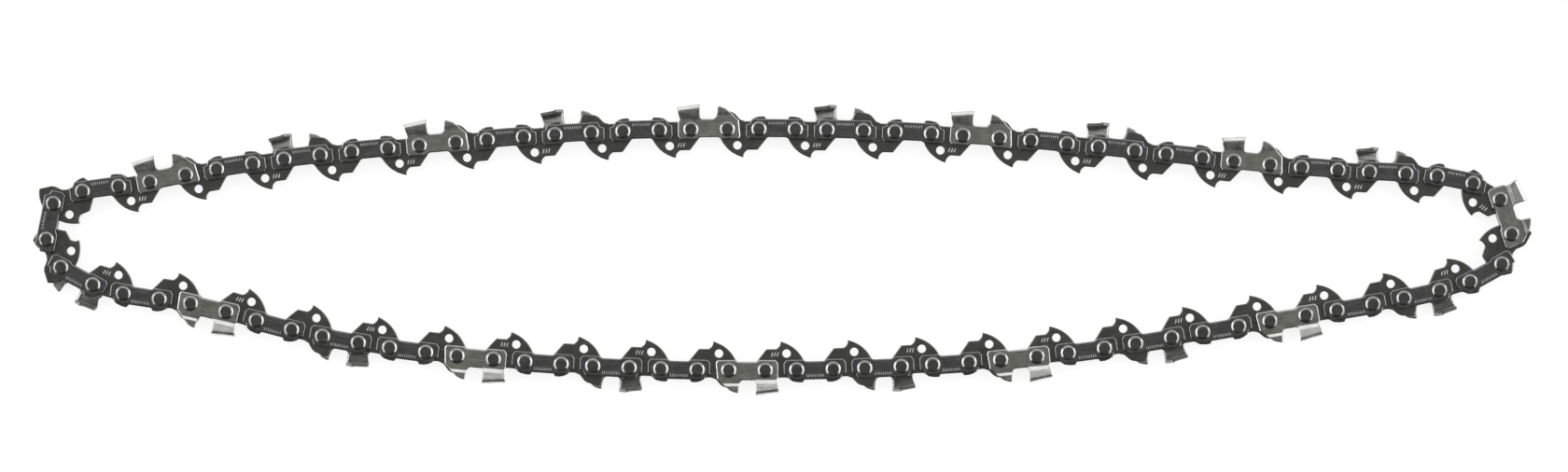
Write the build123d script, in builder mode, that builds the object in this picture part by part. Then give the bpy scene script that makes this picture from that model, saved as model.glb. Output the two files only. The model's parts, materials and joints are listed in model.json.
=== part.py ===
"""Saw chain for a garden chainsaw: a closed loop of drive links, tie straps and cutters, laid on its side.

Millimetres, +Z up along the rivets. The loop lies on its far-side cutters, with the origin under its middle.
A link's own frame has its rear rivet at the origin, +X the way the chain runs, +Y out of the loop and
+Z along the rivets, with z = 0 in the middle of the drive links.
"""
from build123d import *
import math
import os

# Chain
drive_link_count = 45
strap_pitch = 10.0  # between the rivets of a strap or cutter
drive_pitch = 8.65  # between the rivet holes of a drive link

# Plate stack, from the middle out
gauge = 1.1  # drive link thickness, which runs in the bar's groove
side_clearance = 0.08
strap_thickness = 1.15
rivet_head_height = 0.45
cutter_set = 0.84  # how far a tooth's side stands out past its strap

# Rivets and holes
rivet_hub_radius = 2.0
rivet_head_radius = 2.15
hub_clearance = 0.08
oil_hole_radius = 1.15
oil_hole_forward = 2.75
oil_hole_depth = 4.47

# Drive link outline
lobe_radius = 3.2  # round the two rivets
lobe_height = 3.5
dip_height = 2.15
bumper_height = 5.3
tang_depth = 7.8
tang_tip_forward = 4.4
tang_foot_depth = 5.7  # the flat part of the tang in front of its tip
tang_root_depth = 2.3

# Tie strap outline
strap_end = 3.55  # past each rivet
strap_outer = 2.75
strap_heel = 2.75
strap_waist = 2.2

# Cutter outline
gullet_height = 2.8
tooth_length = 6.35
tooth_tip_forward = 2.65  # cutting corner, in front of the rear rivet
tooth_height = 6.95
tooth_relief = 0.8  # fall of the top plate towards the rear
tooth_lap = 4.9  # height where a tooth's side plate runs into its bent upper part
tooth_rear_lean = 0.6  # how far the rear edge leans back from its foot
top_plate_thickness = 0.85
top_plate_overhang = 0.9  # past the middle of the chain
file_angle = 30.0
gauge_height = 6.45  # depth gauge
gauge_tip_back = 2.75  # depth gauge tip, behind the front rivet
gauge_bend = 3.7  # height of the fold above the rivet line
gauge_set = 0.45  # how far a depth gauge stands out past its strap

# The lay: rivet line of the loop as it lies, from the first cutter round the top, right, bottom and left.
# Only its shape counts: it is scaled to the length of the chain.
lay_points = [
    (-171.4, 18.4), (-140.0, 23.9), (-95.0, 28.6), (-50.0, 31.9), (0.0, 32.8),
    (50.0, 31.1), (95.0, 27.1), (135.0, 23.0), (165.0, 20.9), (180.0, 19.9),
    (189.6, 17.8), (196.5, 13.5), (199.5, 3.8), (196.7, -4.1), (187.8, -8.9),
    (170.0, -13.3), (130.0, -20.1), (85.0, -27.4), (40.0, -31.5), (-10.0, -32.9),
    (-60.0, -31.2), (-105.0, -26.9), (-140.0, -20.0), (-162.0, -14.4), (-177.4, -12.3),
    (-186.1, -9.9), (-195.2, -5.3), (-199.5, 2.3), (-197.0, 13.2), (-188.8, 16.0), (-179.2, 17.3),
]

# Drive links with a node of their own, round the two tight ends. The others share their carrier's node.
loose_drive_links = [1, 2, *range(17, 25), *range(41, 46)]

# Derived heights, from the middle of the drive links
strap_inner = gauge / 2 + side_clearance
strap_face = strap_inner + strap_thickness
head_face = strap_face + rivet_head_height
tooth_face = strap_face + cutter_set
middle_height = max(head_face, tooth_face)  # above what the loop lies on
hole_radius = rivet_hub_radius + hub_clearance


def drive_link(bumper):
    """Flat link with a hooked tang and an oil hole. A bumper link has a raised horn at its rear rivet."""
    front_lobe = drive_pitch + lobe_radius
    dip_rear = (0.56 * drive_pitch, dip_height)
    with BuildPart() as link:
        with BuildSketch():
            with BuildLine():
                tang_root = (-0.66 * lobe_radius, -tang_root_depth)
                tip = (tang_tip_forward, -tang_depth)
                hook_top = (tang_tip_forward + 1.2, -tang_foot_depth)
                foot = (drive_pitch - 0.35, -tang_foot_depth)
                front_root = (drive_pitch + 2.2, -tang_root_depth - 0.2)
                SagittaArc(tang_root, tip, -1.0)
                SagittaArc(tip, hook_top, 0.35)
                Polyline(hook_top, foot, front_root)
                ThreePointArc(front_root, (front_lobe, 0), (drive_pitch + 2.6, 1.9))
                Polyline(
                    (drive_pitch + 2.6, 1.9),
                    (drive_pitch + 1.6, lobe_height),
                    (drive_pitch + 0.2, lobe_height),
                    (drive_pitch - 1.1, lobe_height - 0.35),
                    (drive_pitch - 2.4, dip_height),
                    dip_rear,
                )
                if bumper:
                    rear_edge = (-lobe_radius, 0.9)
                    horn = (-2.1, bumper_height)
                    Polyline(
                        dip_rear,
                        (0.39 * drive_pitch, dip_height + 0.45),
                        (2.4, bumper_height - 1.1),
                        (1.3, bumper_height - 0.4),
                        horn,
                    )
                    SagittaArc(horn, rear_edge, -0.35)
                    ThreePointArc(rear_edge, (-lobe_radius, -0.6), tang_root)
                else:
                    rear_edge = (-2.6, 1.9)
                    Polyline(
                        dip_rear,
                        (2.6, dip_height),
                        (1.2, lobe_height - 0.3),
                        (-0.4, lobe_height),
                        (-1.7, lobe_height),
                        rear_edge,
                    )
                    ThreePointArc(rear_edge, (-lobe_radius, 0), tang_root)
            make_face()
            with Locations((0, 0), (drive_pitch, 0)):
                Circle(hole_radius, mode=Mode.SUBTRACT)
            with Locations((oil_hole_forward, -oil_hole_depth)):
                Circle(oil_hole_radius, mode=Mode.SUBTRACT)
        extrude(amount=gauge / 2, both=True)
    return link.part


def tie_strap_outline():
    """Half of a tie strap's edge, mirrored about its middle: stepped outer corners and a waisted inner edge."""
    middle = strap_pitch / 2
    with BuildSketch() as strap:
        with BuildLine():
            Polyline(
                (middle, strap_outer),
                (-1.9, strap_outer),
                (-2.55, 1.45),
                (-strap_end, 1.15),
                (-strap_end, -1.8),
                (-2.8, -strap_heel),
                (1.6, -strap_heel),
                (2.6, -strap_waist),
                (middle, -strap_waist),
                close=True,
            )
        make_face()
        mirror(about=Plane.YZ.offset(middle))
    return strap.sketch


def cutter_body_outline():
    """Strap part of a cutter, with the depth gauge and its ramp in one piece with it."""
    gauge_tip = strap_pitch - gauge_tip_back
    front = strap_pitch + strap_end
    with BuildSketch() as body:
        with BuildLine():
            Polyline(
                (-3.05, gullet_height),
                (-strap_end, 1.95),
                (-strap_end, -1.8),
                (-2.85, -strap_heel),
                (1.6, -strap_heel),
                (2.6, -strap_waist),
                (strap_pitch - 2.6, -strap_waist),
                (strap_pitch - 1.6, -strap_heel),
                (front - 0.45, -strap_heel + 0.05),
                (front, -2.0),
                (front - 0.4, 2.35),
                (strap_pitch + 0.75, gauge_height - 1.55),
                (gauge_tip + 0.95, gauge_height - 0.1),
                (gauge_tip, gauge_height),
                (gauge_tip - 0.15, gullet_height + 0.85),
                (gauge_tip - 0.8, gullet_height),
                close=True,
            )
        make_face()
    return body.sketch


def cutter_plate():
    """Strap of a right-hand cutter with its depth gauge, which is folded out past the strap."""
    top = gauge_height + 1
    with BuildPart() as plate:
        with BuildSketch(Plane.YZ.offset(-strap_end)):
            with BuildLine():
                Polyline(
                    (-strap_heel, strap_inner),
                    (gauge_bend, strap_inner),
                    (gauge_bend + gauge_set, strap_inner + gauge_set),
                    (top, strap_inner + gauge_set),
                    (top, strap_face + gauge_set),
                    (gauge_bend + gauge_set, strap_face + gauge_set),
                    (gauge_bend, strap_face),
                    (-strap_heel, strap_face),
                    close=True,
                )
            make_face()
        extrude(amount=strap_pitch + 2 * strap_end)
        with BuildSketch():
            add(cutter_body_outline())
        extrude(amount=strap_face + gauge_set, mode=Mode.INTERSECT)
    return plate.part


def tooth_side_section(forward):
    """Section across the foot of a tooth, where its side plate is folded out past the strap."""
    inside = tooth_face - strap_thickness
    with BuildSketch(Plane.YZ.offset(forward)) as section:
        with BuildLine():
            Polyline(
                (gullet_height - 1.2, strap_face),
                (gullet_height - 0.15, strap_face),
                (gullet_height + 0.7, tooth_face),
                (tooth_lap, tooth_face),
                (tooth_lap, inside),
                (gullet_height + 0.85, inside),
                (gullet_height, strap_inner),
                (gullet_height - 1.2, strap_inner),
                close=True,
            )
        make_face()
    return section.sketch


def tooth_top_section(forward):
    """Section across the rear of a tooth's upper part, where it is bent over the chain."""
    top = tooth_height - tooth_relief
    inside = tooth_face - strap_thickness
    with BuildSketch(Plane.YZ.offset(forward)) as section:
        with BuildLine():
            Polyline(
                (tooth_lap - tooth_relief - 0.1, tooth_face),
                (top - 1.1, tooth_face),
                (top - 0.35, tooth_face - 0.4),
                (top, tooth_face - 1.1),
                (top, -top_plate_overhang),
                (top - top_plate_thickness, -top_plate_overhang),
                (top - top_plate_thickness, inside - 0.5),
                (top - top_plate_thickness - 0.5, inside),
                (tooth_lap - tooth_relief - 0.1, inside),
                close=True,
            )
        make_face()
    return section.sketch


def cutter_tooth():
    """Tooth of a right-hand cutter: a bent plate with a leaning rear edge, filed at an angle in front."""
    rear = tooth_tip_forward - tooth_length
    foot = gullet_height - 1.2
    depth = tooth_face + top_plate_overhang
    filed_back = depth * math.tan(math.radians(file_angle))
    with BuildPart() as tooth:
        add(tooth_side_section(rear))
        extrude(amount=tooth_length, dir=(1, 0, 0))
        add(tooth_top_section(rear))
        extrude(amount=math.hypot(tooth_length, tooth_relief), dir=(tooth_length, tooth_relief, 0))
        with BuildSketch(Plane.XY.offset(-top_plate_overhang)):
            with BuildLine():
                Polyline(
                    (rear, foot),
                    (rear, tooth_height - tooth_relief),
                    (rear + tooth_rear_lean, foot),
                    close=True,
                )
            make_face()
        extrude(amount=depth, mode=Mode.SUBTRACT)
        with BuildSketch(Plane.XZ.offset(-gullet_height)):
            with BuildLine():
                Polyline(
                    (tooth_tip_forward, tooth_face),
                    (tooth_tip_forward, -top_plate_overhang),
                    (tooth_tip_forward - filed_back, -top_plate_overhang),
                    close=True,
                )
            make_face()
        extrude(amount=-tooth_height, mode=Mode.SUBTRACT)
    return tooth.part


def riveted_pair(cutter):
    """Two side plates on their two rivets. With cutter, the plate on the +Z side is a cutter."""
    rivets = [(0, 0), (strap_pitch, 0)]
    with BuildPart() as pair:
        with BuildSketch(Plane.XY.offset(-strap_face)):
            add(tie_strap_outline())
        extrude(amount=strap_thickness)
        if cutter:
            add(cutter_plate())
            add(cutter_tooth())
        else:
            with BuildSketch(Plane.XY.offset(strap_inner)):
                add(tie_strap_outline())
            extrude(amount=strap_thickness)
        with BuildSketch(Plane.XY.offset(-strap_inner)):
            with Locations(rivets):
                Circle(rivet_hub_radius)
        extrude(amount=2 * strap_inner)
        for face in (-head_face, strap_face):
            with BuildSketch(Plane.XY.offset(face)):
                with Locations(rivets):
                    Circle(rivet_head_radius)
            extrude(amount=rivet_head_height)
    return pair.part


def pins_on_lay():
    """Rivet centres, rear and front of each strap in turn, a whole number of pitches round the scaled lay."""
    with BuildLine() as line:
        Spline(*lay_points, periodic=True)
    lay = line.edge()
    length = lay.length
    reaches = [strap_pitch, drive_pitch] * drive_link_count
    scale = sum(reaches) / length
    for _ in range(6):
        turn = 0.0
        pins = []
        for reach in reaches:
            here = lay.position_at(turn % 1)
            pins.append(here * scale)
            step = reach / scale / length
            for _ in range(7):
                chord = (lay.position_at((turn + step) % 1) - here).length
                step += (reach / scale - chord) / length
            turn += step
        scale *= turn
    return pins


def placed(piece, rear, front):
    """A copy of a link with its rear rivet on one pin and its front rivet on the next."""
    along = front - rear
    turn = math.degrees(math.atan2(along.Y, along.X))
    return piece.moved(Location((rear.X, rear.Y, middle_height), (0, 0, turn)))


def plate_kind(number):
    """Right and left cutters take turns at the odd places, with a pair of tie straps after each."""
    if number % 2 == 0 or (number == drive_link_count and drive_link_count % 2):
        return "tie_straps"
    return "cutter_right" if number % 4 == 1 else "cutter_left"


def build_nodes():
    """Every node by name, as a list of solids in place round the loop."""
    right = riveted_pair(cutter=True)
    plates = {
        "tie_straps": riveted_pair(cutter=False),
        "cutter_right": right,
        "cutter_left": mirror(right, about=Plane.XY),
    }
    plain_link = drive_link(bumper=False)
    bumper_link = drive_link(bumper=True)
    pins = pins_on_lay()
    nodes = {}
    for number in range(1, drive_link_count + 1):
        kind = plate_kind(number)
        rear, front, following = (pins[(2 * number - 2 + step) % len(pins)] for step in range(3))
        next_kind = plate_kind(number % drive_link_count + 1)
        carrier = f"{kind}_{number:02d}"
        nodes[carrier] = [placed(plates[kind], rear, front)]
        link = placed(plain_link if next_kind != "tie_straps" else bumper_link, front, following)
        if number in loose_drive_links:
            nodes[f"drive_link_{number:02d}"] = [link]
        else:
            nodes[carrier].append(link)
    return nodes


def centred(nodes):
    """The nodes as labelled compounds, with the origin under the middle of the loop."""
    box = Compound([solid for solids in nodes.values() for solid in solids]).bounding_box()
    middle = box.center()
    home = Location((-middle.X, -middle.Y, -box.min.Z))
    return {
        name: Compound(label=name, children=[solid.moved(home) for solid in solids])
        for name, solids in nodes.items()
    }


def main():
    os.makedirs("parts", exist_ok=True)
    for name, node in centred(build_nodes()).items():
        export_step(node, f"parts/{name}.step")


main()
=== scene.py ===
import json
import math

import bmesh
import bpy
import numpy as np
from mathutils import Matrix, Vector
from mathutils.geometry import tessellate_polygon

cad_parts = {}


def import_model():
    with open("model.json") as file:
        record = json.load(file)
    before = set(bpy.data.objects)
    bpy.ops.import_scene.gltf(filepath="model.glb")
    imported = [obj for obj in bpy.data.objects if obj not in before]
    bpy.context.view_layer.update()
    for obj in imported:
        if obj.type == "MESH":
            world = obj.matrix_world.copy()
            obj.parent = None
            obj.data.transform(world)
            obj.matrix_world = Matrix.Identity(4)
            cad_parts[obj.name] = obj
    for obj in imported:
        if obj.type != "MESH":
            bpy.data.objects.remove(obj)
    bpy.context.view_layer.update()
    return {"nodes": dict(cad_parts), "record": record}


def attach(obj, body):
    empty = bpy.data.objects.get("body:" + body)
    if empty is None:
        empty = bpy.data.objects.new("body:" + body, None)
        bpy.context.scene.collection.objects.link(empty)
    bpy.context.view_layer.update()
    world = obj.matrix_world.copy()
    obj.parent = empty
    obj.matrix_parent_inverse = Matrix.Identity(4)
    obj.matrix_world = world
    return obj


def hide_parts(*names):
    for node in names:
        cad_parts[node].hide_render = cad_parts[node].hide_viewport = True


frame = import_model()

# Sizes are in mm, in a link's own frame: rear rivet at the origin, +X the way the chain runs, +Y out of the
# loop and +Z along the rivets, with z = 0 in the middle of the drive links.
MM_PER_M = 1000
PITCH = 10.0  # between the rivets of a strap or cutter
DRIVE_PITCH = 8.65  # between the rivet holes of a drive link
LINK_FACE = 0.55  # faces of the drive links
INNER = 0.63  # inner faces of the straps and cutters
FACE = 1.78  # outer faces of the straps and cutters
HEAD = 2.23  # faces of the rivet heads in the CAD
MIDDLE = 2.62  # height of z = 0 above the floor
PLATE = FACE - INNER

# Kinds of face, in the order of a mesh's materials
FACE_KIND, EDGE_KIND, WALL_KIND, MARK_KIND = range(4)
INNER_KIND, GROUND_AND_PAINTED_LIGHT_KIND, BEND_KIND, PAINTED_HIGHLIGHT_EDGE_KIND = range(4, 8)
OUTLINE_KINDS = (EDGE_KIND, WALL_KIND, PAINTED_HIGHLIGHT_EDGE_KIND)


# Outlines: closed lists of points that run anticlockwise

TINY = 1e-6
SAME_POINT = 1e-3
NEARLY_STRAIGHT = math.radians(176)
ROUNDING_SHARE = 0.48  # of a side, at most, for the round corner at one of its ends
SHARPEST = 0.5  # least cosine when an outline is moved inwards, so that sharp corners don't shoot away


def sag_arc(a, b, sag, steps):
    """Points of a shallow bow from a to b, without a. It bulges to the left of its chord by sag."""
    ax, ay = a
    bx, by = b
    chord = math.hypot(bx - ax, by - ay)
    nx, ny = -(by - ay) / chord, (bx - ax) / chord
    points = []
    for i in range(1, steps + 1):
        t = i / steps
        bow = sag * 4 * t * (1 - t)
        points.append((ax + (bx - ax) * t + nx * bow, ay + (by - ay) * t + ny * bow))
    return points


def round_arc(a, m, b, steps):
    """Points of the circle arc from a over m to b, without a."""
    (ax, ay), (mx, my), (bx, by) = a, m, b
    d = 2 * (ax * (my - by) + mx * (by - ay) + bx * (ay - my))
    sa, sm, sb = ax * ax + ay * ay, mx * mx + my * my, bx * bx + by * by
    cx = (sa * (my - by) + sm * (by - ay) + sb * (ay - my)) / d
    cy = (sa * (bx - mx) + sm * (ax - bx) + sb * (mx - ax)) / d
    r = math.hypot(ax - cx, ay - cy)
    start = math.atan2(ay - cy, ax - cx)
    through = (math.atan2(my - cy, mx - cx) - start) % math.tau
    sweep = (math.atan2(by - cy, bx - cx) - start) % math.tau
    if through > sweep:
        sweep -= math.tau
    turns = [start + sweep * i / steps for i in range(1, steps + 1)]
    return [(cx + r * math.cos(turn), cy + r * math.sin(turn)) for turn in turns]


def plain(points):
    """These points as corners that stay sharp."""
    return [(x, y, 0.0) for x, y in points]


def rounded(corners, steps=5):
    """Outline with each corner (x, y, radius) rounded. Radius 0 keeps the point."""
    points = []
    for i, (x, y, r) in enumerate(corners):
        px, py, _ = corners[i - 1]
        qx, qy, _ = corners[(i + 1) % len(corners)]
        corner = Vector((x, y))
        u = Vector((px - x, py - y))
        v = Vector((qx - x, qy - y))
        if r <= 0 or u.length < TINY or v.length < TINY or u.angle(v) > NEARLY_STRAIGHT:
            points.append((x, y))
            continue
        reach = min(r / math.tan(u.angle(v) / 2), ROUNDING_SHARE * u.length, ROUNDING_SHARE * v.length)
        a = corner + u.normalized() * reach
        b = corner + v.normalized() * reach
        for k in range(steps + 1):
            t = k / steps
            p = a * (1 - t) ** 2 + corner * 2 * t * (1 - t) + b * t * t
            points.append((p.x, p.y))
    clean = []
    for p in points:
        if not clean or math.dist(p, clean[-1]) > SAME_POINT:
            clean.append(p)
    if math.dist(clean[0], clean[-1]) < SAME_POINT:
        clean.pop()
    return clean


def inset(loop, width):
    """The outline moved inwards by width."""
    moved = []
    for i, (x, y) in enumerate(loop):
        ax, ay = loop[i - 1]
        bx, by = loop[(i + 1) % len(loop)]
        u = Vector((x - ax, y - ay)).normalized()
        v = Vector((bx - x, by - y)).normalized()
        nu, nv = Vector((-u.y, u.x)), Vector((-v.y, v.x))
        m = nu + nv
        m = nu if m.length < TINY else m.normalized()
        k = width / max(m.dot(nu), SHARPEST)
        moved.append((x + m.x * k, y + m.y * k))
    return moved


def circle(cx, cy, r, steps):
    turns = [math.tau * i / steps for i in range(steps)]
    return [(cx + r * math.cos(turn), cy + r * math.sin(turn)) for turn in turns]


def slot_loop(x, y, length, width, angle=0.0):
    """Outline of a narrow round-ended groove round its middle, turned by angle in degrees."""
    c, s = math.cos(math.radians(angle)), math.sin(math.radians(angle))
    half = length / 2 - width / 2
    loop = []
    for end, first in ((1, -90), (-1, 90)):
        for k in range(5):
            a = math.radians(first + 45 * k)
            px, py = end * half + width / 2 * math.cos(a), width / 2 * math.sin(a)
            loop.append((x + px * c - py * s, y + px * s + py * c))
    return loop


# Meshes of stamped plates and rivets

# Shares of a rolled edge's width and drop, from the wall to the flat face
ROLL_PROFILE = ((0.0, 1.0), (0.2, 0.62), (0.65, 0.145), (1.0, 0.0))
HOLE_CHAMFER = 0.1
GROOVE_LEAN = 0.03  # how far a groove's floor is inside its rim
LATHE_STEPS = 48
MERGE = 1e-4
CREASE = math.radians(38)  # edges sharper than this are shaded sharp


class Plates:
    """Collects plates and rivets in one mesh, with the kind of each face."""

    def __init__(self):
        self.bm = bmesh.new()
        self.kind = self.bm.faces.layers.int.new("kind")

    def ring(self, loop, z):
        return [self.bm.verts.new((x, y, z)) for x, y in loop]

    def face(self, verts, kind):
        self.bm.faces.new(verts)[self.kind] = kind

    def band(self, low, high, kind):
        """Faces between two rings of as many verts."""
        n = len(low)
        for i in range(n):
            j = (i + 1) % n
            self.face((low[i], low[j], high[j], high[i]), kind)

    def cap(self, loops, up, kind=FACE_KIND):
        """Flat face inside the first loop of verts and outside the others."""
        flat = [v for loop in loops for v in loop]
        for a, b, c in tessellate_polygon([[v.co for v in loop] for loop in loops]):
            p, q, r = flat[a].co, flat[b].co, flat[c].co
            turn = (q.x - p.x) * (r.y - p.y) - (q.y - p.y) * (r.x - p.x)
            if abs(turn) < 1e-12:
                continue
            order = (flat[a], flat[b], flat[c]) if (turn > 0) == up else (flat[a], flat[c], flat[b])
            self.face(order, kind)

    def plate(self, loop, z0, z1, roll, holes=(), grooves=(), groove_side=1, depth=0.07, under=FACE_KIND):
        """Stamped plate from z0 up to z1. Roll is the width and drop of its rolled edges, and under is the kind
        of its lower face. A hole is (x, y, radius, points) and a groove is (outline, kind)."""
        width, drop = roll
        edges = [(inset(loop, width * w) if w else loop, drop * d) for w, d in ROLL_PROFILE]
        top = [self.ring(edge, z1 - d) for edge, d in edges]
        low = [self.ring(edge, z0 + d) for edge, d in edges]
        self.band(low[0], top[0], WALL_KIND)
        for k in range(len(ROLL_PROFILE) - 1):
            self.band(top[k], top[k + 1], EDGE_KIND)
            self.band(low[k + 1], low[k], EDGE_KIND)
        inside_top, inside_low = [], []
        for x, y, r, count in holes:
            rim_top = self.ring(circle(x, y, r + HOLE_CHAMFER, count), z1)
            wall_top = self.ring(circle(x, y, r, count), z1 - HOLE_CHAMFER)
            wall_low = self.ring(circle(x, y, r, count), z0 + HOLE_CHAMFER)
            rim_low = self.ring(circle(x, y, r + HOLE_CHAMFER, count), z0)
            self.band(rim_top, wall_top, EDGE_KIND)
            self.band(wall_top, wall_low, WALL_KIND)
            self.band(wall_low, rim_low, EDGE_KIND)
            inside_top.append(rim_top)
            inside_low.append(rim_low)
        for groove, kind in grooves:
            sunk = inset(groove, GROOVE_LEAN)
            if groove_side > 0:
                rim, floor = self.ring(groove, z1), self.ring(sunk, z1 - depth)
                self.band(rim, floor, kind)
                self.face(floor, kind)
                inside_top.append(rim)
            else:
                rim, floor = self.ring(groove, z0), self.ring(sunk, z0 + depth)
                self.band(floor, rim, kind)
                self.face(list(reversed(floor)), kind)
                inside_low.append(rim)
        self.cap([top[-1], *inside_top], True)
        self.cap([low[-1], *inside_low], False, under)

    def lathe(self, x, y, profile):
        """Surface of revolution round (x, y). Each point is (radius, z, kind of the band above it)."""
        rings = []
        for r, z, _ in profile:
            rings.append(self.ring(circle(x, y, r, LATHE_STEPS) if r > 0 else [(x, y)], z))
        for (low, high), (_, _, kind) in zip(zip(rings, rings[1:]), profile):
            for i in range(LATHE_STEPS):
                j = (i + 1) % LATHE_STEPS
                if len(high) == 1:
                    self.face((low[i], low[j], high[0]), kind)
                elif len(low) == 1:
                    self.face((low[0], high[j], high[i]), kind)
                else:
                    self.face((low[i], low[j], high[j], high[i]), kind)

    def cut_across(self, levels, normal):
        """Edges across the plates at these distances along normal, where they will be bent."""
        for level in levels:
            geometry = self.bm.verts[:] + self.bm.edges[:] + self.bm.faces[:]
            point = Vector(normal) * level
            bmesh.ops.bisect_plane(self.bm, geom=geometry, dist=1e-5, plane_co=point, plane_no=normal)

    def mesh(self, name, materials, mirrored=False):
        """Mesh in metres with a material for each kind of face. Mirrored turns it over to the far side."""
        bm = self.bm
        bmesh.ops.remove_doubles(bm, verts=bm.verts, dist=MERGE)
        for v in bm.verts:
            x, y, z = v.co
            v.co = (x / MM_PER_M, y / MM_PER_M, (-z if mirrored else z) / MM_PER_M)
        if mirrored:
            bmesh.ops.reverse_faces(bm, faces=bm.faces)
        bm.normal_update()
        for f in bm.faces:
            f.smooth = True
            f.material_index = f[self.kind]
        for e in bm.edges:
            if len(e.link_faces) == 2:
                a, b = e.link_faces
                mixed = (a[self.kind] in OUTLINE_KINDS) != (b[self.kind] in OUTLINE_KINDS)
                e.smooth = not (mixed or e.calc_face_angle(0.0) > CREASE)
        data = bpy.data.meshes.new(name)
        bm.to_mesh(data)
        bm.free()
        for m in materials:
            data.materials.append(m)
        return data


# Materials

def new_node(tree, kind, inputs=None, **settings):
    """Shader node with these settings, and with a value or another node's output at each input named."""
    made = tree.nodes.new(kind)
    for key, value in settings.items():
        setattr(made, key, value)
    for key, value in (inputs or {}).items():
        if isinstance(value, bpy.types.NodeSocket):
            tree.links.new(value, made.inputs[key])
        else:
            made.inputs[key].default_value = value
    return made


def tone(colour, scale=1.0, lift=0.0, most=1.0):
    """A lighter or darker version of a colour, with its alpha."""
    return (*(min(c * scale + lift, most) for c in colour), 1)


def steel(name, dark, light, rough, streak=0.5, bump=0.12, blotch=0.5):
    """Steel from dark to light, with drawn streaks, oil blotches, fine grain and a few light scratches."""
    material = bpy.data.materials.new(name)
    material.use_nodes = True
    tree = material.node_tree

    def node(kind, inputs=None, **settings):
        return new_node(tree, kind, inputs, **settings)

    def noise(scale, detail, roughness=0.6, stretch=(1, 1, 1), turn=0.0):
        mapping = node("ShaderNodeMapping", {"Vector": place, "Scale": stretch, "Rotation": (0, 0, turn)})
        return node("ShaderNodeTexNoise", {"Vector": mapping.outputs[0], "Scale": scale, "Detail": detail,
                                           "Roughness": roughness}).outputs["Fac"]

    def ramp(source, low, high, at_low=0.0, at_high=1.0):
        return node("ShaderNodeMapRange", {"Value": source, "From Min": low, "From Max": high,
                                           "To Min": at_low, "To Max": at_high}).outputs[0]

    def mix(factor, a, b):
        return node("ShaderNodeMix", {"Factor": factor, 6: a, 7: b}, data_type="RGBA").outputs[2]

    def total(a, b):
        return node("ShaderNodeMath", {0: a, 1: b}, operation="ADD").outputs[0]

    # Each piece has its own place in the noise
    random = node("ShaderNodeObjectInfo").outputs["Random"]
    shift = node("ShaderNodeMath", {0: random, 1: 0.73}, operation="MULTIPLY").outputs[0]
    own = node("ShaderNodeTexCoord").outputs["Object"]
    place = node("ShaderNodeVectorMath", {0: own, 1: shift}, operation="ADD").outputs[0]

    streaks = noise(1.0, 3.0, stretch=(240, 3400, 3400))
    blotches = noise(420.0, 5.0, 0.65)
    grain = noise(5200.0, 2.0, 0.5)
    scratches = noise(1.0, 1.0, stretch=(150, 5200, 5200), turn=0.5)

    softness = 0.14 / streak
    colour = mix(ramp(streaks, 0.5 - softness, 0.5 + softness), tone(dark), tone(light))
    colour = mix(ramp(blotches, 0.35, 0.68, 0.0, blotch), colour, tone(dark, 0.62))
    colour = mix(ramp(grain, 0.52, 0.75, 0.0, 0.35), colour, tone(light, 1.5))
    colour = mix(ramp(scratches, 0.7, 0.76, 0.0, 0.55), colour, tone(light, 2.4, 0.02, 0.9))
    roughness = total(ramp(blotches, 0.3, 0.75, rough + 0.1, rough - 0.07),
                      ramp(grain, 0.3, 0.7, -0.05, 0.06))
    height = total(ramp(grain, 0.2, 0.8, 0.0, 0.7), ramp(streaks, 0.2, 0.8, 0.0, 0.5))
    relief = node("ShaderNodeBump", {"Strength": bump, "Distance": 0.00005, "Height": height})

    shader = tree.nodes["Principled BSDF"]
    shader.inputs["Metallic"].default_value = 1.0
    tree.links.new(colour, shader.inputs["Base Color"])
    tree.links.new(roughness, shader.inputs["Roughness"])
    tree.links.new(relief.outputs[0], shader.inputs["Normal"])
    return material


strap_steel = steel("strap_steel", (0.061, 0.0615, 0.0618), (0.108, 0.1088, 0.11), 0.33)
# Rolled edges are lighter than the faces: wear, and a painted highlight along the rolled edges
strap_edge = steel("strap_edge_wear_and_painted_highlight", (0.15, 0.15, 0.152), (0.27, 0.27, 0.272), 0.24, blotch=0.4)
strap_wall = steel("strap_sheared_wall", (0.08, 0.08, 0.082), (0.17, 0.17, 0.17), 0.4)
link_steel = steel("drive_link_steel", (0.063, 0.0632, 0.057), (0.104, 0.1035, 0.095), 0.36)
# Lighter rolled edge of the drive links: wear and a painted highlight
link_edge = steel("drive_link_edge_wear_and_painted_highlight", (0.11, 0.11, 0.104), (0.24, 0.24, 0.23), 0.3)
link_wall = steel("drive_link_sheared_wall", (0.07, 0.07, 0.066), (0.14, 0.14, 0.132), 0.42)
mark_steel = steel("stamped_mark_steel", (0.62, 0.62, 0.61), (0.86, 0.86, 0.85), 0.45, blotch=0.3)
cutter_steel = steel("cutter_steel", (0.143, 0.143, 0.128), (0.24, 0.239, 0.217), 0.36, streak=0.8, bump=0.2)
# Lighter rolled edge of the cutters: wear and a painted highlight
cutter_edge = steel("cutter_edge_wear_and_painted_highlight", (0.28, 0.28, 0.273), (0.5, 0.5, 0.49), 0.26, blotch=0.4)
cutter_wall = steel("cutter_ground_wall", (0.2, 0.2, 0.195), (0.42, 0.42, 0.41), 0.33,
                    streak=0.9, bump=0.25)
# Painted light: the inner face is a lighter copy of the cutter steel, so the inside corner shows less shade
cutter_inner_painted_light = steel("cutter_inner_painted_light_steel", (0.2, 0.2, 0.184), (0.36, 0.358, 0.335), 0.36,
                     streak=0.8, bump=0.2)
# Lighter ground steel for the tooth's side, also used as painted light on the underside of the top plate
cutter_ground_and_painted_light = steel("cutter_ground_steel_and_painted_light", (0.29, 0.29, 0.284), (0.48, 0.48, 0.47), 0.34,
                      streak=0.9, bump=0.25, blotch=0.4)
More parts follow.
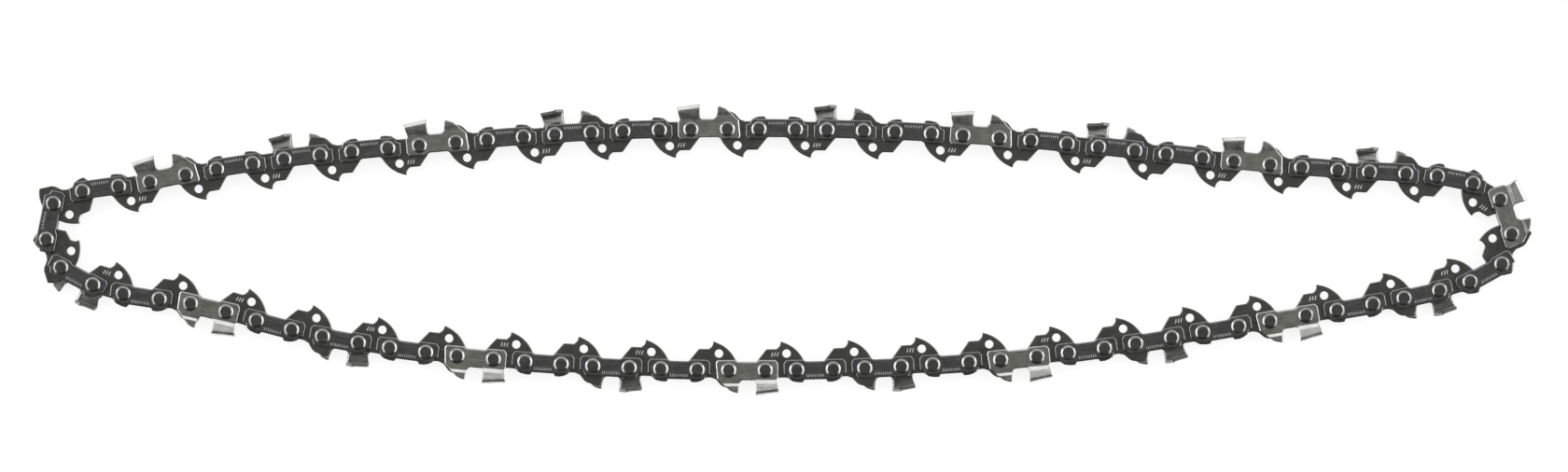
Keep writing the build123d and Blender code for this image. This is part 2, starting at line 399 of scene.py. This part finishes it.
# Painted highlight: a much lighter copy of the cutter steel for the bends, the fold to the top plate and the
# front edge
cutter_painted_highlight = steel("cutter_bend_painted_highlight", (0.52, 0.52, 0.51), (0.84, 0.84, 0.82), 0.28,
                    bump=0.15, blotch=0.35)
rivet_core = steel("rivet_core_steel", (0.054, 0.054, 0.049), (0.098, 0.097, 0.088), 0.36,
                   streak=0.3, bump=0.3)
# Painted highlight: the rivet rim is a lighter copy of the rivet steel
rivet_rim_painted_highlight = steel("rivet_rim_painted_highlight_steel", (0.19, 0.19, 0.188), (0.34, 0.34, 0.335), 0.22, streak=0.3, blotch=0.3)


# Drive links

def drive_link_loop(bumper):
    """From the root of the tang round its hooked tip to the front, then back over the lobes or the bumper."""
    root, tip, hook, foot, front = (-2.112, -2.3), (4.4, -7.8), (5.6, -5.7), (8.3, -5.7), (10.85, -2.5)
    shoulder = (11.25, 1.9)
    loop = [(*root, 0.0)]
    loop += plain(sag_arc(root, tip, -1.0, 14)[:-1])
    loop += [(*tip, 0.1)]
    loop += plain(sag_arc(tip, hook, 0.35, 6)[:-1])
    loop += [(*hook, 0.3), (*foot, 0.5), (*front, 0.4)]
    loop += plain(round_arc(front, (11.85, 0), shoulder, 10)[:-1])
    loop += [(*shoulder, 0.4), (10.25, 3.5, 0.4), (8.85, 3.5, 0.8), (7.55, 3.15, 0.6), (6.25, 2.15, 1.2),
             (4.844, 2.15, 0.8)]
    if bumper:
        top, rear = (-2.1, 5.3), (-3.2, 0.9)
        loop += [(3.5, 2.65, 0.8), (2.25, 4.1, 0.7), (1.3, 4.7, 0.6), (*top, 0.3)]
        loop += plain(sag_arc(top, rear, -0.35, 7)[:-1])
        loop += [(*rear, 0.0)]
        loop += plain(round_arc(rear, (-3.2, -0.6), root, 5)[:-1])
    else:
        rear = (-2.6, 1.9)
        loop += [(2.6, 2.15, 1.2), (1.2, 3.2, 0.6), (-0.4, 3.5, 0.8), (-1.7, 3.5, 0.4), (*rear, 0.4)]
        loop += plain(round_arc(rear, (-3.2, 0), root, 9)[:-1])
    return rounded(loop)


def drive_link_mesh(name, bumper):
    """Drive link with its rivet holes and oil hole. The plain ones have three slanting ticks on the tang."""
    made = Plates()
    holes = [(0, 0, 2.08, 36), (DRIVE_PITCH, 0, 2.08, 36), (2.75, -4.47, 1.15, 28)]
    ticks = []
    if not bumper:
        ticks = [(slot_loop(5.2 + 0.75 * k, -4.25, 1.25, 0.26, 72), MARK_KIND) for k in range(3)]
    made.plate(drive_link_loop(bumper), -LINK_FACE, LINK_FACE, (0.22, 0.12), holes, ticks, depth=0.08)
    return made.mesh(name, [link_steel, link_edge, link_wall, mark_steel])


# Tie straps and rivets

HUB_RADIUS = 2.0
SHANK_RADIUS = 1.7
LAP = 0.02  # how far hubs and heads reach into the plates
# Peened head: radius, height above the plate and kind of the band above it. The edge bands of the rim take a
# lighter steel, a painted highlight.
RIVET_HEAD = [
    (2.15, -LAP, EDGE_KIND), (2.15, 0.05, EDGE_KIND), (2.11, 0.09, FACE_KIND), (2.06, 0.095, EDGE_KIND),
    (1.96, 0.165, EDGE_KIND), (1.85, 0.245, EDGE_KIND), (1.73, 0.33, EDGE_KIND), (1.62, 0.405, EDGE_KIND),
    (1.54, 0.44, FACE_KIND), (1.4, 0.45, FACE_KIND), (0.5, 0.43, FACE_KIND), (0.0, 0.428, FACE_KIND),
]


def strap_loop():
    half = [(-1.9, 2.75, 0.2), (-2.55, 1.45, 0.3), (-3.55, 1.15, 0.25), (-3.55, -1.8, 0.35),
            (-2.8, -2.75, 0.35), (1.6, -2.75, 0.6), (2.6, -2.2, 0.6)]
    return rounded(half + [(PITCH - x, y, r) for x, y, r in reversed(half)])


def strap_grooves():
    """Three drawn lines and a row of ticks on a strap's outer face."""
    lines = [(-0.95, 4.9, 0.14), (-1.62, 3.5, 0.14), (0.85, 4.6, 0.1)]
    # The drawn lines take the rolled-edge steel, with its wear and painted highlight
    grooves = [(slot_loop(PITCH / 2, y, length, width), EDGE_KIND) for y, length, width in lines]
    for i in range(9):
        grooves.append((slot_loop(2.75 + 0.56 * i, 1.65, 0.78, 0.16, 76 if i % 2 else 98), MARK_KIND))
    return grooves


def strap_mesh(name, sides):
    """Straps on the near side (1), the far side (-1) or both."""
    made = Plates()
    for side in sides:
        z0, z1 = (INNER, FACE) if side > 0 else (-FACE, -INNER)
        made.plate(strap_loop(), z0, z1, (0.25, 0.135), grooves=strap_grooves(), groove_side=side)
    return made.mesh(name, [strap_steel, strap_edge, strap_wall, mark_steel])


def rivet_mesh(name):
    """The two rivets of a link: a hub between the plates, a shank through them and a head on each side."""
    made = Plates()
    # The far head is the near one turned over, so each band's kind goes to its other end
    kinds = [kind for _, _, kind in RIVET_HEAD][-2::-1] + [WALL_KIND]
    far = [(r, -FACE - h, kind) for (r, h, _), kind in zip(reversed(RIVET_HEAD), kinds)]
    near = [(r, FACE + h, kind) for r, h, kind in RIVET_HEAD]
    body = [(SHANK_RADIUS, -FACE + LAP), (SHANK_RADIUS, -INNER - LAP), (HUB_RADIUS, -INNER - LAP),
            (HUB_RADIUS, INNER + LAP), (SHANK_RADIUS, INNER + LAP), (SHANK_RADIUS, FACE - LAP)]
    for x in (0.0, PITCH):
        made.lathe(x, 0.0, far + [(r, z, WALL_KIND) for r, z in body] + near)
    return made.mesh(name, [rivet_core, rivet_rim_painted_highlight, strap_wall])


# Cutters: a flat plate whose tooth and depth gauge are then bent. Heights on the flat plate are called s.

TIP = 2.65  # cutting corner
REAR = -3.7  # rear end of the tooth
TOP = 6.95  # top of the bent tooth at its tip
RELIEF = 0.8  # fall of the top plate from its tip to its rear
TOOTH_FACE = 2.62  # side of the bent tooth
OVERHANG = 0.9  # of the top plate past the middle of the chain
BEND = 1.15  # outer radius of the fold to the top plate
BEND_START = TOP - BEND
BEND_END = BEND_START + BEND * math.pi / 2
TOOTH_END = BEND_END + TOOTH_FACE - BEND + OVERHANG
GULLET = 4.6  # the tooth is behind it, the depth gauge in front
FOOT_LOW, FOOT_HIGH = 2.66, 3.7  # bend at the foot of the tooth, given a painted highlight
FOOT_SET = 0.34  # how far the tooth's side stands out at the bend of its foot
SIDE_SET = 0.5  # how much further it stands out at the fold
SIDE_START = 3.4
GAUGE_LOW, GAUGE_HIGH = 3.7, 4.4  # bend of the depth gauge, given a painted highlight
GAUGE_SET = 0.27
FRONT_EDGE = 13.0  # the cutter's front edge past it gets a painted highlight
THINNING = 0.26  # share of the thickness that the tooth loses up to the fold's end
FILE_SLOPE = math.tan(math.radians(30))
SIDE_FILED = 0.5  # share of the thickness that is filed back at the tooth's side


def share(value, low, high):
    """How far value is on its way from low to high, from 0 to 1."""
    return min(max((value - low) / (high - low), 0.0), 1.0)


def ease(value, low, high):
    t = share(value, low, high)
    return t * t * (3 - 2 * t)


def cutter_loop():
    """Flat plate, from the rear round the foot, the front, the depth gauge and the gullet to the tooth."""
    return rounded([
        (-3.05, 2.8, 0.5), (-3.55, 1.95, 0.4), (-3.55, -1.8, 0.5), (-2.85, -2.75, 0.4),
        (1.6, -2.75, 0.6), (2.6, -2.2, 0.6), (7.4, -2.2, 0.6), (8.4, -2.75, 0.6),
        (13.1, -2.7, 0.4), (13.55, -2.0, 0.4), (13.15, 2.35, 0.9), (11.0, 4.45, 0.8),
        (9.6, 5.68, 2.0), (8.2, 6.2, 0.8), (7.35, 6.3, 0.25), (7.1, 3.75, 0.7),
        (6.4, 2.8, 0.9), (3.1, 2.8, 0.7), (2.6, 3.3, 0.5), (TIP - 0.1, 5.0, 1.5),
        (TIP, TOP, 0.1), (TIP, TOOTH_END, 0.35), (REAR, TOOTH_END, 0.4), (REAR, 6.2, 0.6),
    ])


def cutter_kind(kind, at):
    """Kind of a face at this place on the flat plate: painted highlights on the bends and front edge, the
    ground tooth, and painted light on the underside of the top plate.
    """
    if at.x > GULLET:
        # Painted highlight on the bend of the depth gauge and on the front edge
        if kind == FACE_KIND and GAUGE_LOW < at.y < GAUGE_HIGH:
            return BEND_KIND
        if kind == EDGE_KIND and at.x > FRONT_EDGE and at.z > PLATE / 2:
            return PAINTED_HIGHLIGHT_EDGE_KIND
        return kind
    if at.y > TOOTH_END - 0.05:
        return FACE_KIND
    # Painted highlight on the bend at the foot and on the fold to the top plate
    if kind == FACE_KIND and (FOOT_LOW < at.y < FOOT_HIGH or at.y > BEND_START + 0.25):
        return BEND_KIND
    # The underside of the top plate takes the ground steel as painted light where it lies in shade
    if kind == FACE_KIND and at.y >= FOOT_HIGH or kind == INNER_KIND and at.y > BEND_START:
        return GROUND_AND_PAINTED_LIGHT_KIND
    return kind


def bent(x, s, depth):
    """Where a point of the flat plate goes, at this depth below its outer face."""
    if x > GULLET:
        return x, s, FACE - depth + GAUGE_SET * share(s, GAUGE_LOW, GAUGE_HIGH)
    outer = FACE + FOOT_SET * ease(s, 2.5, 3.8) + SIDE_SET * share(s, SIDE_START, BEND_START)
    fall = RELIEF * (TIP - x) / (TIP - REAR) * ease(s, SIDE_START, 5.6)
    depth *= 1.0 - THINNING * ease(s, BEND_START - 1.2, BEND_END)
    if s <= BEND_START:
        y, z = s, outer - depth
        filed = SIDE_FILED * depth
    else:
        turn = min((s - BEND_START) / BEND, math.pi / 2)
        y = BEND_START + (BEND - depth) * math.sin(turn)
        z = TOOTH_FACE - BEND + (BEND - depth) * math.cos(turn) - max(s - BEND_END, 0.0)
        filed = max(TOOTH_FACE - z - 0.6, SIDE_FILED * depth)
    x -= filed * FILE_SLOPE * ease(x, -0.6, 2.4) * ease(s, 3.0, 3.6)
    return x, y - fall, z


def cutter_mesh(name, mirrored):
    """Right-hand cutter on the near side or, mirrored, left-hand cutter on the far side."""
    made = Plates()
    made.plate(cutter_loop(), 0.0, PLATE, (0.28, 0.15), under=INNER_KIND)
    foot = [2.4 + 0.13 * k for k in range(16)]
    side = [4.4, 4.75, 5.2]
    fold = [BEND_START + BEND * math.radians(9 * k) for k in range(11)]
    made.cut_across(sorted(foot + side + fold), (0, 1, 0))
    made.cut_across([-2.6, -1.2, 0.2, 1.2, 1.9], (1, 0, 0))
    bmesh.ops.remove_doubles(made.bm, verts=made.bm.verts, dist=0.004)
    bmesh.ops.dissolve_degenerate(made.bm, dist=0.002, edges=made.bm.edges)
    for f in made.bm.faces:
        f[made.kind] = cutter_kind(f[made.kind], f.calc_center_median())
    for v in made.bm.verts:
        v.co = bent(v.co.x, v.co.y, PLATE - v.co.z)
    # The bend kind and the front-edge kind both take the painted highlight steel
    materials = [cutter_steel, cutter_edge, cutter_wall, mark_steel,
                 cutter_inner_painted_light, cutter_ground_and_painted_light, cutter_painted_highlight, cutter_painted_highlight]
    return made.mesh(name, materials, mirrored)


# Where each pair of rivets is

def rivet_places(node, height):
    """Centres in metres of a CAD node's rear and front rivet, from its verts at the height of a head."""
    at = np.array([tuple(node.matrix_world @ v.co) for v in node.data.vertices])
    at = np.unique(at[np.abs(at[:, 2] - height) < 2e-5][:, :2].round(7), axis=0)
    first = np.linalg.norm(at - at[0], axis=1) < PITCH / 2 / MM_PER_M
    a, b = at[first].mean(axis=0), at[~first].mean(axis=0)
    middle, way = (a + b) / 2, b - a
    clockwise = middle[0] * way[1] - middle[1] * way[0] < 0
    return (a, b) if clockwise else (b, a)


bodies = frame["record"]["behaviour"]["bodies"]
body_of = {node: body for body, held in bodies.items() for node in held}
carriers = {int(node[-2:]): node for node in frame["nodes"] if not node.startswith("drive_link")}
places = {}
for number, node in carriers.items():
    # On a strap's side, because a tooth also has verts at the height of the heads
    height = (MIDDLE - HEAD) if node.startswith("cutter_right") else (MIDDLE + HEAD)
    places[number] = rivet_places(frame["nodes"][node], height / MM_PER_M)


# The chain

def lay(piece, rear, front):
    """Puts a link's piece with its rear rivet at rear and its front rivet towards front."""
    way = math.atan2(front[1] - rear[1], front[0] - rear[0])
    place = Matrix.Translation((rear[0], rear[1], MIDDLE / MM_PER_M))
    piece.matrix_world = place @ Matrix.Rotation(way, 4, "Z")


def add(name, mesh, rear, front, node):
    piece = bpy.data.objects.new(name, mesh)
    bpy.context.scene.collection.objects.link(piece)
    lay(piece, rear, front)
    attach(piece, body_of[node])
    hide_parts(node)


plain_link = drive_link_mesh("plain_drive_link", False)
bumper_link = drive_link_mesh("bumper_drive_link", True)
strap_pair = strap_mesh("tie_strap_pair", (1, -1))
near_strap = strap_mesh("near_tie_strap", (1,))
far_strap = strap_mesh("far_tie_strap", (-1,))
rivet_pair = rivet_mesh("rivet_pair")
right_cutter = cutter_mesh("right_cutter", False)
left_cutter = cutter_mesh("left_cutter", True)

for number, node in sorted(carriers.items()):
    rear, front = places[number]
    if node.startswith("tie_straps"):
        add(f"straps_{number:02d}", strap_pair, rear, front, node)
    elif node.startswith("cutter_right"):
        add(f"straps_{number:02d}", far_strap, rear, front, node)
        add(f"cutter_{number:02d}", right_cutter, rear, front, node)
    else:
        add(f"straps_{number:02d}", near_strap, rear, front, node)
        add(f"cutter_{number:02d}", left_cutter, rear, front, node)
    add(f"rivets_{number:02d}", rivet_pair, rear, front, node)
    # A drive link without a node of its own is in the node of the plates behind it
    following = number % len(carriers) + 1
    link = plain_link if carriers[following].startswith("cutter") else bumper_link
    link_node = f"drive_link_{number:02d}"
    add(f"link_{number:02d}", link, front, places[following][0],
        link_node if link_node in frame["nodes"] else node)


# Floor, light and camera

FLOOR_REACH = 6.0
CAMERA_HEIGHT = 1.5  # above the middle of the chain
VIEW_WIDTH = 0.4302  # at the middle of the chain
SENSOR_WIDTH = 36.0


def floor():
    """Matt floor that the camera and reflections see as a white glow with the chain's faint shadow."""
    material = bpy.data.materials.new("pale_floor")
    material.use_nodes = True
    tree = material.node_tree
    tree.nodes.clear()
    matt = new_node(tree, "ShaderNodeBsdfDiffuse", {"Color": (0.8, 0.8, 0.8, 1)})
    faint = new_node(tree, "ShaderNodeBsdfDiffuse", {"Color": (0.23, 0.23, 0.23, 1)})
    glow = new_node(tree, "ShaderNodeEmission", {"Strength": 0.84})
    seen = new_node(tree, "ShaderNodeAddShader", {0: faint.outputs[0], 1: glow.outputs[0]})
    ray = new_node(tree, "ShaderNodeLightPath").outputs
    either = new_node(tree, "ShaderNodeMath", {0: ray["Is Camera Ray"], 1: ray["Is Glossy Ray"]},
                      operation="MAXIMUM")
    any_ray = new_node(tree, "ShaderNodeMath", {0: either.outputs[0], 1: ray["Is Transmission Ray"]},
                       operation="MAXIMUM")
    mixed = new_node(tree, "ShaderNodeMixShader",
                     {0: any_ray.outputs[0], 1: matt.outputs[0], 2: seen.outputs[0]})
    new_node(tree, "ShaderNodeOutputMaterial", {"Surface": mixed.outputs[0]})
    data = bpy.data.meshes.new("floor")
    r = FLOOR_REACH
    data.from_pydata([(-r, -r, 0), (r, -r, 0), (r, r, 0), (-r, r, 0)], [], [(0, 1, 2, 3)])
    data.materials.append(material)
    made = bpy.data.objects.new("floor", data)
    bpy.context.scene.collection.objects.link(made)


def world():
    """Even light that fades from the +Y side to the -Y side."""
    made = bpy.data.worlds.new("studio")
    bpy.context.scene.world = made
    made.use_nodes = True
    tree = made.node_tree
    tree.nodes.clear()
    place = new_node(tree, "ShaderNodeTexCoord")
    split = new_node(tree, "ShaderNodeSeparateXYZ", {0: place.outputs["Generated"]})
    fade = new_node(tree, "ShaderNodeMapRange",
                    {"Value": split.outputs["Y"], "From Min": -0.5, "From Max": 0.45,
                     "To Min": 0.06, "To Max": 1.22}, interpolation_type="SMOOTHSTEP")
    light = new_node(tree, "ShaderNodeBackground", {"Color": (1, 1, 1, 1), "Strength": fade.outputs[0]})
    new_node(tree, "ShaderNodeOutputWorld", {"Surface": light.outputs[0]})


def panel(name, place, width, height, brightness):
    """Soft studio panel of an even brightness, aimed at the chain."""
    data = bpy.data.lights.new(name, "AREA")
    data.shape = "RECTANGLE"
    data.size, data.size_y = width, height
    data.energy = brightness * math.pi * width * height
    made = bpy.data.objects.new(name, data)
    bpy.context.scene.collection.objects.link(made)
    made.location = place
    made.rotation_euler = (-Vector(place)).to_track_quat("-Z", "Y").to_euler()


def camera():
    """Camera that looks straight down the rivets."""
    data = bpy.data.cameras.new("camera")
    made = bpy.data.objects.new("camera", data)
    bpy.context.scene.collection.objects.link(made)
    data.sensor_fit = "HORIZONTAL"
    data.sensor_width = SENSOR_WIDTH
    data.lens = SENSOR_WIDTH * CAMERA_HEIGHT / VIEW_WIDTH
    made.location = (0.000447, 0.0037466, MIDDLE / MM_PER_M + CAMERA_HEIGHT)
    made.rotation_euler = (0, 0, 0)
    bpy.context.scene.camera = made


floor()
world()
panel("panel_left", (-1.3, -0.05, 0.65), 2.0, 0.52, 4.0)
panel("panel_right", (1.3, -0.05, 0.65), 2.0, 0.52, 4.0)
camera()
bpy.context.scene.view_settings.view_transform = "Standard"
